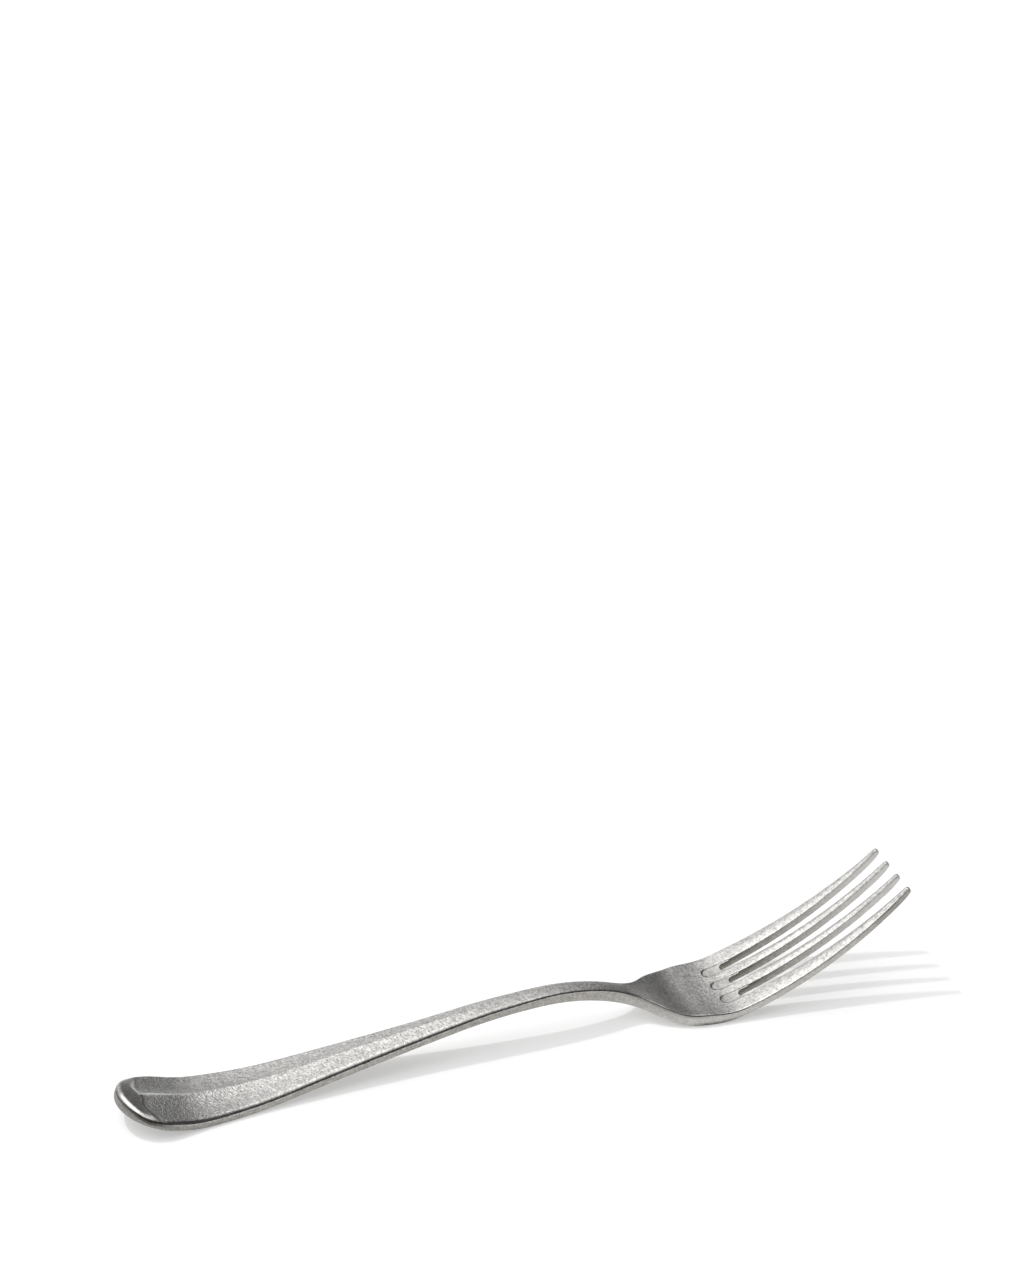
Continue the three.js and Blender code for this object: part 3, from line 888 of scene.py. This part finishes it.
# Noise of the grain, its mottle and its flecks: features per metre, detail, roughness and distortion
GRAIN_NOISE = (1600, 2, 0.55, 0.7)
MOTTLE_NOISE = (520, 3, 0.6, 0)
FLECK_NOISE = (1500, 1, 0.4, 0)
# How much of the mottle joins the grain, and the range of their sum from dark to light
MOTTLE_SHARE = 0.4
LIGHT_RANGE = (0.5, 0.9)
# The range of noise over which flecks appear, how well they cover, and how much of them satin keeps
FLECK_RANGE = (0.67, 0.73)
FLECK_COVER = 0.85
SATIN_FLECKS = 0.25
# Height of the grain's relief in metres, how far satin smooths it, and what is left where it is smooth
GRAIN_RELIEF = 0.00019
SATIN_SMOOTHING = 0.75
SMOOTH_RELIEF = 0.1


def stonewashed_steel():
    """Stainless steel tumbled with stones.

    The faces have a swirled grain with small bright flecks, the pad, the bowl and the tines are
    smoother, the rims are glossy and the blanked edges are dull and warmer. Painted shade in the
    hollows, painted shade, a painted highlight on the rim, painted dark lines and painted highlights
    and reflection lie over these in that order. The masks come from the meshes.
    """
    material = bpy.data.materials.new("stonewashed_steel")
    material.use_nodes = True
    tree = material.node_tree
    shader = tree.nodes["Principled BSDF"]
    shader.inputs["Metallic"].default_value = 1
    coordinates = tree.nodes.new("ShaderNodeTexCoord").outputs["Object"]
    grain = noise(tree, coordinates, *GRAIN_NOISE)
    mottle = noise(tree, coordinates, *MOTTLE_NOISE)
    fleck = remap(tree, noise(tree, coordinates, *FLECK_NOISE), *FLECK_RANGE, 0, FLECK_COVER)
    satin = attribute(tree, "satin")
    rim = attribute(tree, "rim")
    edge = attribute(tree, "edge")
    painted_highlights = attribute(tree, "painted_highlights")

    light = calculate(tree, "ADD", grain, calculate(tree, "MULTIPLY", mottle, MOTTLE_SHARE))
    light = remap(tree, light, *LIGHT_RANGE, 0, 1)
    face_tone = mix(tree, "RGBA", light, DARK_GRAIN, LIGHT_GRAIN)
    kept_fleck = calculate(tree, "MULTIPLY", fleck, remap(tree, satin, 0, 1, 1, SATIN_FLECKS))
    face_tone = mix(tree, "RGBA", kept_fleck, face_tone, FLECKS_AND_HIGHLIGHTS)
    edge_tone = mix(tree, "RGBA", light, DARK_EDGE, LIGHT_EDGE)
    tone = mix(tree, "RGBA", edge, face_tone, edge_tone)
    # Painted shade in the hollows, painted shade over the end, bowl and tips, a painted highlight on the
    # rim, painted dark lines of reflection and shadow, then painted highlights and reflection
    tone = mix(tree, "RGBA", attribute(tree, "painted_hollow_shade"), tone, HOLLOW_SHADE)
    tone = mix(tree, "RGBA", attribute(tree, "painted_shade"), tone, SHADE)
    tone = mix(tree, "RGBA", attribute(tree, "painted_rim_highlight"), tone, PAINTED_RIM_HIGHLIGHT)
    tone = mix(tree, "RGBA", attribute(tree, "painted_shade_lines"), tone, PAINTED_SHADE_LINE)
    tone = mix(tree, "RGBA", painted_highlights, tone, FLECKS_AND_HIGHLIGHTS)
    tree.links.new(tone, shader.inputs["Base Color"])

    roughest = FACE_ROUGHNESS + ROUGHNESS_SWING
    smoothest = FACE_ROUGHNESS - ROUGHNESS_SWING
    roughness = remap(tree, mottle, *MOTTLE_RANGE, roughest, smoothest)
    roughness = mix(tree, "FLOAT", satin, roughness, SATIN_ROUGHNESS)
    roughness = mix(tree, "FLOAT", rim, roughness, RIM_ROUGHNESS)
    roughness = mix(tree, "FLOAT", edge, roughness, EDGE_ROUGHNESS)
    roughness = mix(tree, "FLOAT", painted_highlights, roughness, HIGHLIGHT_ROUGHNESS)
    tree.links.new(roughness, shader.inputs["Roughness"])

    smoothed = calculate(tree, "MULTIPLY", satin, SATIN_SMOOTHING)
    smoothed = calculate(tree, "MAXIMUM", smoothed, rim)
    bump = add_node(tree, "ShaderNodeBump", Distance=GRAIN_RELIEF)
    tree.links.new(remap(tree, smoothed, 0, 1, 1, SMOOTH_RELIEF), bump.inputs["Strength"])
    tree.links.new(grain, bump.inputs["Height"])
    tree.links.new(bump.outputs["Normal"], shader.inputs["Normal"])
    return material


STEEL = stonewashed_steel()
BLADE = blade()
LAST_ROWS = np.cumsum([len(rows) for rows in BLADE_ZONES.values()]) - 1
FIRST_ROWS = np.concatenate([[0], LAST_ROWS[:-1]])
for zone, first_row, last_row in zip(BLADE_ZONES, FIRST_ROWS, LAST_ROWS):
    steel_piece(
        f"{zone}_steel",
        zone,
        BLADE[first_row:last_row + 1],
        STEEL,
        cap_first=first_row > 0,
        cap_last=True,
    )
for number in range(1, TINE_COUNT + 1):
    steel_piece(
        f"tine_{number}_steel",
        f"tine_{number}",
        tine(number - 1),
        STEEL,
        cap_first=True,
        cap_last=False,
    )

# Stage: a pale floor in a room that is bright on the left, with a soft panel above and a dark
# curtain in front

FLOOR_COLOUR = (0.93, 0.93, 0.93)
FLOOR_REACH = 40
FLOOR_GAP = 0.02 * MM
# The share of plain white in what the camera and the metal see of the floor
FLOOR_GLOW = 0.4
CURTAIN_RADIUS = 3
CURTAIN_COLUMNS = 60
# Azimuths along the curtain, and the elevation of its top there
CURTAIN_AZIMUTHS = (112, 135, 155, 225, 305)
CURTAIN_TOPS = (62, 60, 47, 45, 4)
CURTAIN_COLOUR = (0.08, 0.08, 0.08)
# Light from the room and from the panel: azimuth and elevation of its middle, the angles from there
# at which it ends and is full, and its strength
DIM_TONE = 0.13
ROOM = (-85, 14, (119, 66), 1.0)
PANEL = (-50, 71, (43, 18), 1.0)
KEY_AZIMUTH = -42
KEY_ELEVATION = 62
KEY_DISTANCE = 3
KEY_SIZE = 0.13
KEY_POWER = 31


def direction(azimuth, elevation):
    """Unit vector towards an azimuth, 0 along +Y and 90 along +X, and an elevation, in degrees."""
    a, e = np.radians([azimuth, elevation])
    return Vector((np.sin(a) * np.cos(e), np.cos(a) * np.cos(e), np.sin(e)))


def stage_mesh(name, points, material):
    """A stage object from a grid of points."""
    rows, columns = points.shape[:2]
    index = np.arange(rows * columns).reshape(rows, columns)
    faces = np.stack([index[:-1, :-1], index[1:, :-1], index[1:, 1:], index[:-1, 1:]], axis=-1)
    mesh = bpy.data.meshes.new(name)
    mesh.from_pydata(points.reshape(-1, 3).tolist(), [], faces.reshape(-1, 4).tolist())
    mesh.materials.append(material)
    item = bpy.data.objects.new(name, mesh)
    bpy.context.collection.objects.link(item)
    return item


def matt(name, colour):
    """A material without gloss."""
    material = bpy.data.materials.new(name)
    material.use_nodes = True
    shader = material.node_tree.nodes["Principled BSDF"]
    shader.inputs["Base Color"].default_value = (*colour, 1)
    shader.inputs["Roughness"].default_value = 1
    shader.inputs["Specular IOR Level"].default_value = 0
    return material


def floor():
    """A square floor just under the fork, whose shadows are lightened for the camera and the metal."""
    material = matt("floor_paper", FLOOR_COLOUR)
    tree = material.node_tree
    path = tree.nodes.new("ShaderNodeLightPath").outputs
    seen = calculate(tree, "MAXIMUM", path["Is Camera Ray"], path["Is Glossy Ray"])
    seen = calculate(tree, "MAXIMUM", seen, path["Is Transmission Ray"])
    white = add_node(tree, "ShaderNodeEmission", Color=(1, 1, 1, 1), Strength=1)
    blend = tree.nodes.new("ShaderNodeMixShader")
    tree.links.new(calculate(tree, "MULTIPLY", seen, FLOOR_GLOW), blend.inputs["Fac"])
    tree.links.new(tree.nodes["Principled BSDF"].outputs["BSDF"], blend.inputs[1])
    tree.links.new(white.outputs["Emission"], blend.inputs[2])
    tree.links.new(blend.outputs["Shader"], tree.nodes["Material Output"].inputs["Surface"])
    sides = (-FLOOR_REACH, FLOOR_REACH)
    x, y = np.meshgrid(sides, sides, indexing="ij")
    level = np.full_like(x, -FLOOR_GAP, dtype=float)
    stage_mesh("floor", np.stack([x, y, level], axis=-1), material)


def curtain():
    """A dark curtain on a circle round the fork, which the camera looks through."""
    azimuth = np.linspace(CURTAIN_AZIMUTHS[0], CURTAIN_AZIMUTHS[-1], CURTAIN_COLUMNS)
    top = np.tan(np.radians(np.interp(azimuth, CURTAIN_AZIMUTHS, CURTAIN_TOPS)))
    turn, height = np.broadcast_arrays(np.radians(azimuth)[:, None], np.outer(top, (0, 1)))
    points = CURTAIN_RADIUS * np.stack([np.sin(turn), np.cos(turn), height], axis=-1)
    item = stage_mesh("curtain", points, matt("curtain_cloth", CURTAIN_COLOUR))
    item.visible_camera = False


def glow(tree, towards, azimuth, elevation, edge_degrees, tone):
    """Light that fades smoothly with the angle from the middle of a bright area."""
    facing = tree.nodes.new("ShaderNodeVectorMath")
    facing.operation = "DOT_PRODUCT"
    facing.inputs[1].default_value = direction(azimuth, elevation)
    tree.links.new(towards, facing.inputs[0])
    outer, inner = np.cos(np.radians(edge_degrees))
    fade = add_node(tree, "ShaderNodeMapRange", From_Min=outer, From_Max=inner, To_Max=tone)
    fade.interpolation_type = "SMOOTHSTEP"
    tree.links.new(facing.outputs["Value"], fade.inputs["Value"])
    return fade.outputs["Result"]


def studio_world():
    """Light from all round: a dim room, its bright side and a soft panel above."""
    world = bpy.data.worlds.new("studio")
    world.use_nodes = True
    bpy.context.scene.world = world
    tree = world.node_tree
    sky = tree.nodes["Background"]
    towards = tree.nodes.new("ShaderNodeTexCoord").outputs["Generated"]
    bright = calculate(tree, "ADD", glow(tree, towards, *ROOM), glow(tree, towards, *PANEL))
    tree.links.new(calculate(tree, "ADD", bright, DIM_TONE), sky.inputs["Strength"])
    sky.inputs["Color"].default_value = (1, 1, 1, 1)


def key_lamp():
    """One square lamp high behind on the left, aimed at the fork. Its mirror image is the panel's."""
    data = bpy.data.lights.new("key", "AREA")
    data.size = KEY_SIZE
    data.energy = KEY_POWER
    lamp = bpy.data.objects.new("key", data)
    towards = direction(KEY_AZIMUTH, KEY_ELEVATION)
    lamp.location = towards * KEY_DISTANCE
    lamp.rotation_euler = towards.to_track_quat("Z", "Y").to_euler()
    lamp.visible_glossy = False
    bpy.context.collection.objects.link(lamp)


floor()
curtain()
studio_world()
key_lamp()

# Camera: the photograph's, by the place on the fork that it shows at a known pixel

IMAGE_HEIGHT = 1280
TARGET = Vector((-0.46, 0, 8.51)) * MM
TARGET_ROW = 1010
CAMERA_AZIMUTH = -20.565
CAMERA_ELEVATION = 34.077
CAMERA_DISTANCE = 1144.2 * MM
FOCAL_PIXELS = 4620
SENSOR_WIDTH = 36


def photo_camera():
    """A camera that sees the target below the middle of the picture by the angle of its pixel row."""
    data = bpy.data.cameras.new("camera")
    data.sensor_width = SENSOR_WIDTH
    data.lens = FOCAL_PIXELS * SENSOR_WIDTH / IMAGE_HEIGHT
    camera = bpy.data.objects.new("camera", data)
    azimuth, elevation = np.radians([CAMERA_AZIMUTH, CAMERA_ELEVATION])
    camera.location = TARGET + direction(180 - CAMERA_AZIMUTH, CAMERA_ELEVATION) * CAMERA_DISTANCE
    below_middle = np.arctan((TARGET_ROW - IMAGE_HEIGHT / 2) / FOCAL_PIXELS)
    camera.rotation_euler = (np.pi / 2 - (elevation - below_middle), 0, azimuth)
    bpy.context.collection.objects.link(camera)
    bpy.context.scene.camera = camera


photo_camera()
bpy.context.scene.view_settings.view_transform = "Standard"
